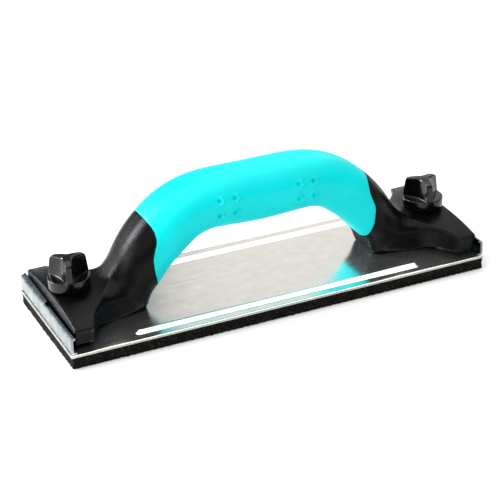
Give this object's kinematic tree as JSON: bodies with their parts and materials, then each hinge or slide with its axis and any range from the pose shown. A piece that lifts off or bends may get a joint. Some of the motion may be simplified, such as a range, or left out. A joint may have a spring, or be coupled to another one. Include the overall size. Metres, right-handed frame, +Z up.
{
  "type": "drywall hand sander",
  "caption": "Hand sander for plaster and drywall: steel plate with a rubber pad, a sprung sheet clamp with a three-lobed knob at each end, and a bow handle with a soft grip.",
  "frame": {"origin": "middle of the rubber pad's underside, which rests on the work", "axes": "+X along the plate's length, +Y across its width, +Z up through the handle"},
  "size_m": [0.235, 0.08, 0.0711],
  "materials": {
    "zinc_plate": "bright zinc-plated sheet",
    "foam_rubber": "black cellular rubber with cut edges",
    "black_plastic": "satin black with a fine grain",
    "soft_grip": "turquoise soft-touch overmould",
    "clamp_steel": "bright zinc-plated sheet",
    "hardware_steel": "zinc-plated",
    "spring_steel": "drawn wire",
    "knob_plastic": "glossy black",
    "insert_brass": "turned"
  },
  "bodies": {
    "sander": {"base_plate": "zinc_plate", "rubber_pad": "foam_rubber", "handle_core": "black_plastic", "soft_grip": "soft_grip", "left_clamp_bolt": "hardware_steel", "right_clamp_bolt": "hardware_steel", "left_lift_spring": "spring_steel", "right_lift_spring": "spring_steel", "left_handle_screws": "hardware_steel", "right_handle_screws": "hardware_steel"},
    "left_clamp": {"left_clamp_plate": "clamp_steel", "left_washer": "hardware_steel"},
    "right_clamp": {"right_clamp_plate": "clamp_steel", "right_washer": "hardware_steel"},
    "left_knob": {"left_knob": "knob_plastic", "left_knob_insert": "insert_brass"},
    "right_knob": {"right_knob": "knob_plastic", "right_knob_insert": "insert_brass"}
  },
  "joints": [
    {"name": "left_clamp_lift", "type": "slide", "parent": "sander", "child": "left_clamp", "axis": [0, 0, 1], "range_m": [0, 0.0026], "deforming": ["left_lift_spring"]},
    {"name": "left_knob_turn", "type": "hinge", "parent": "left_clamp", "child": "left_knob", "pos_m": [-0.103, 0, 0.0144], "axis": [0, 0, 1], "range_deg": [0, 900]},
    {"name": "right_clamp_lift", "type": "slide", "parent": "sander", "child": "right_clamp", "axis": [0, 0, 1], "range_m": [0, 0.0026], "deforming": ["right_lift_spring"]},
    {"name": "right_knob_turn", "type": "hinge", "parent": "right_clamp", "child": "right_knob", "pos_m": [0.103, 0, 0.0144], "axis": [0, 0, 1], "range_deg": [0, 900]}
  ],
  "couplings": [
    {"joint": "left_clamp_lift", "follows": "left_knob_turn", "m_per_rad": 0.00015915},
    {"joint": "right_clamp_lift", "follows": "right_knob_turn", "m_per_rad": 0.00015915}
  ]
}
